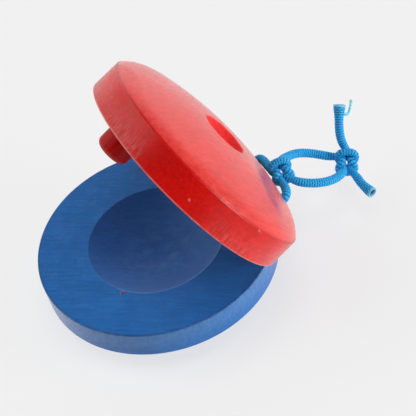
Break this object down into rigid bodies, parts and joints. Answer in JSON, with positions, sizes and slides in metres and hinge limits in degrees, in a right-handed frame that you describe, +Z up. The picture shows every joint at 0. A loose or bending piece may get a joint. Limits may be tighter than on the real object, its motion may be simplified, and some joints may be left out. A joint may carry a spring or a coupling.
{
  "type": "castanets",
  "caption": "Wooden school castanets: red and blue turned shells with a striker peg, hinged at bevels on a knotted elastic cord with a finger loop",
  "frame": {"origin": "on the surface that the castanets stand on, under the middle of the blue shell", "axes": "+Z up along the blue shell's axis, +X from the open mouth towards the cord, Y along the hinge line"},
  "size_m": [0.0855, 0.0592, 0.0592],
  "materials": {
    "blue_lacquer": "thin satin lacquer over turned hardwood",
    "red_lacquer": "thin satin lacquer over turned hardwood",
    "peg_lacquer": "thin satin lacquer over dowel",
    "elastic_braid": "round braided elastic",
    "rubber_thread": "bare rubber thread"
  },
  "bodies": {
    "blue_half": {"blue_shell": "blue_lacquer", "cord_bridge": "elastic_braid"},
    "red_half": {"red_shell": "red_lacquer", "striker_peg": "peg_lacquer", "cord_leg_left": "elastic_braid", "cord_leg_right": "elastic_braid", "shell_knot": "elastic_braid", "loop_strand_left": "elastic_braid", "loop_strand_right": "elastic_braid", "tail_knot": "elastic_braid", "long_tail": "elastic_braid", "short_tail": "elastic_braid", "rubber_core": "rubber_thread"}
  },
  "joints": [
    {"name": "shell_hinge", "type": "hinge", "parent": "blue_half", "child": "red_half", "pos_m": [0.0205, 0, 0.0129], "axis": [0, -1, 0], "range_deg": [0, 52.5], "stiffness_Nm_per_rad": 0.02, "springref_deg": -28.65}
  ]
}
